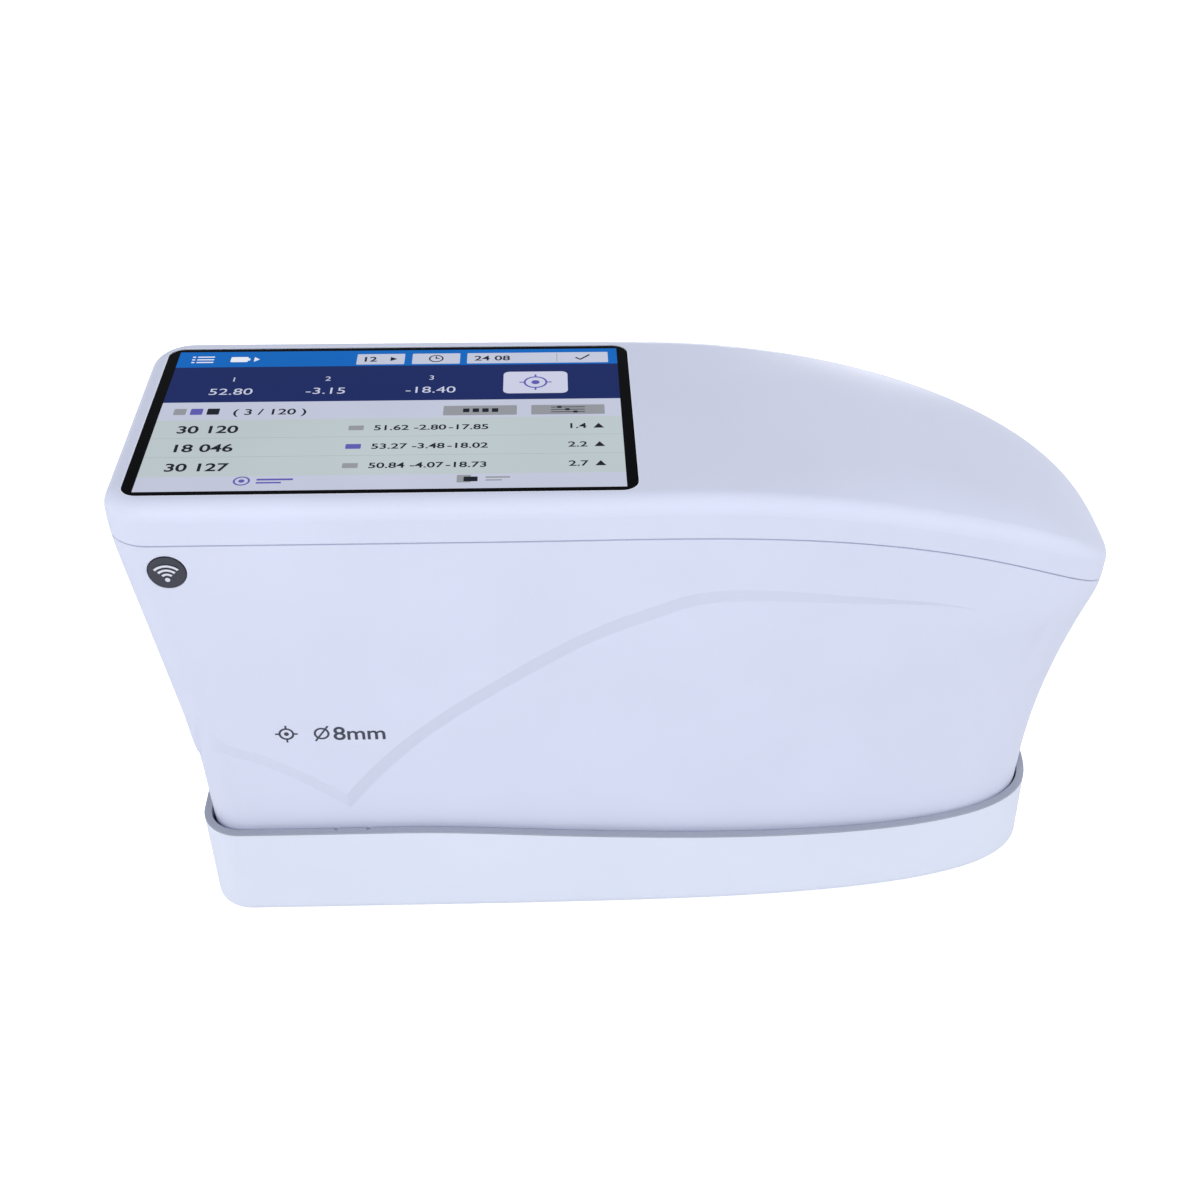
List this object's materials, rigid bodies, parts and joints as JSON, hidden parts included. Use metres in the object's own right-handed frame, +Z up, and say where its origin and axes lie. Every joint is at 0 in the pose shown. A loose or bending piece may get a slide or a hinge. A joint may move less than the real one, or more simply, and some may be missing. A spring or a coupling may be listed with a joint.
{
  "type": "benchtop colorimeter",
  "caption": "Benchtop colorimeter with a touch display and drooping nose, standing in its calibration base with a white tile under the measuring port.",
  "frame": {"origin": "middle of the footprint, on the table under the feet", "axes": "+X towards the drooping nose, -Y towards the front, +Z up"},
  "size_m": [0.1871, 0.0626, 0.1008],
  "materials": {
    "shell_white": "fine moulded satin",
    "base_white": "fine moulded satin",
    "rim_grey": "fine moulded matt",
    "key_white": "smooth satin",
    "black_plastic": "matt",
    "inner_plastic": "matt",
    "screen_glass": "polished black cover glass with a lit display behind it",
    "adhesive": "thin foam tape",
    "lcd": "display module with a steel back",
    "steel": "plated",
    "circuit_board": "solder mask",
    "chip": "moulded epoxy",
    "battery_wrap": "shrink wrap",
    "foam": "closed-cell foam",
    "feet_rubber": "matt",
    "tile_white": "glazed",
    "sphere_white": "sintered white, matt",
    "black_anodised": "black anodised",
    "lens": "polished",
    "badge": "printed disc"
  },
  "bodies": {
    "base": {"base_tray": "base_white", "base_rim": "rim_grey", "base_feet": "feet_rubber", "tile_holder": "black_plastic", "tile_pad": "foam", "calibration_tile": "tile_white", "base_magnets": "steel"},
    "measure_button": {"measure_key": "key_white", "measure_plunger": "black_plastic"},
    "power_button": {"power_key": "key_white", "power_plunger": "black_plastic"},
    "instrument": {"top_cover": "shell_white", "main_housing": "shell_white", "bottom_plate": "inner_plastic", "aperture_mask": "black_anodised", "instrument_pads": "feet_rubber", "instrument_magnets": "steel", "plate_screws": "steel", "optics_screws": "steel", "cover_screws": "steel", "badge_disc": "badge", "touch_glass": "screen_glass", "glass_gasket": "adhesive", "lcd_panel": "lcd", "display_bracket": "steel", "bracket_screws": "steel", "board_standoffs": "steel", "main_board": "circuit_board", "board_chips": "chip", "board_screws": "steel", "display_ribbon": "black_plastic", "radio_module": "steel", "buzzer": "chip", "battery_cells": "battery_wrap", "battery_cradle": "inner_plastic", "sphere_lower": "sphere_white", "sphere_upper": "sphere_white", "detector_barrel": "black_anodised", "detector_lens": "lens", "sensor_module": "black_anodised", "led_board": "circuit_board", "measure_switch": "chip", "key_board": "circuit_board", "key_screws": "steel", "power_switch": "chip", "io_board": "circuit_board", "io_screws": "steel", "usb_socket": "steel"}
  },
  "joints": [
    {"name": "instrument_lift", "type": "slide", "parent": "base", "child": "instrument", "axis": [0, 0, 1], "range_m": [0, 0.06]},
    {"name": "measure_key_press", "type": "slide", "parent": "instrument", "child": "measure_button", "axis": [0, -1, 0], "range_m": [0, 0.0005], "stiffness_N_per_m": 2500, "springref_m": -0.0006},
    {"name": "power_key_press", "type": "slide", "parent": "instrument", "child": "power_button", "axis": [1, 0, 0], "range_m": [0, 0.0004], "stiffness_N_per_m": 2500, "springref_m": -0.0006}
  ]
}
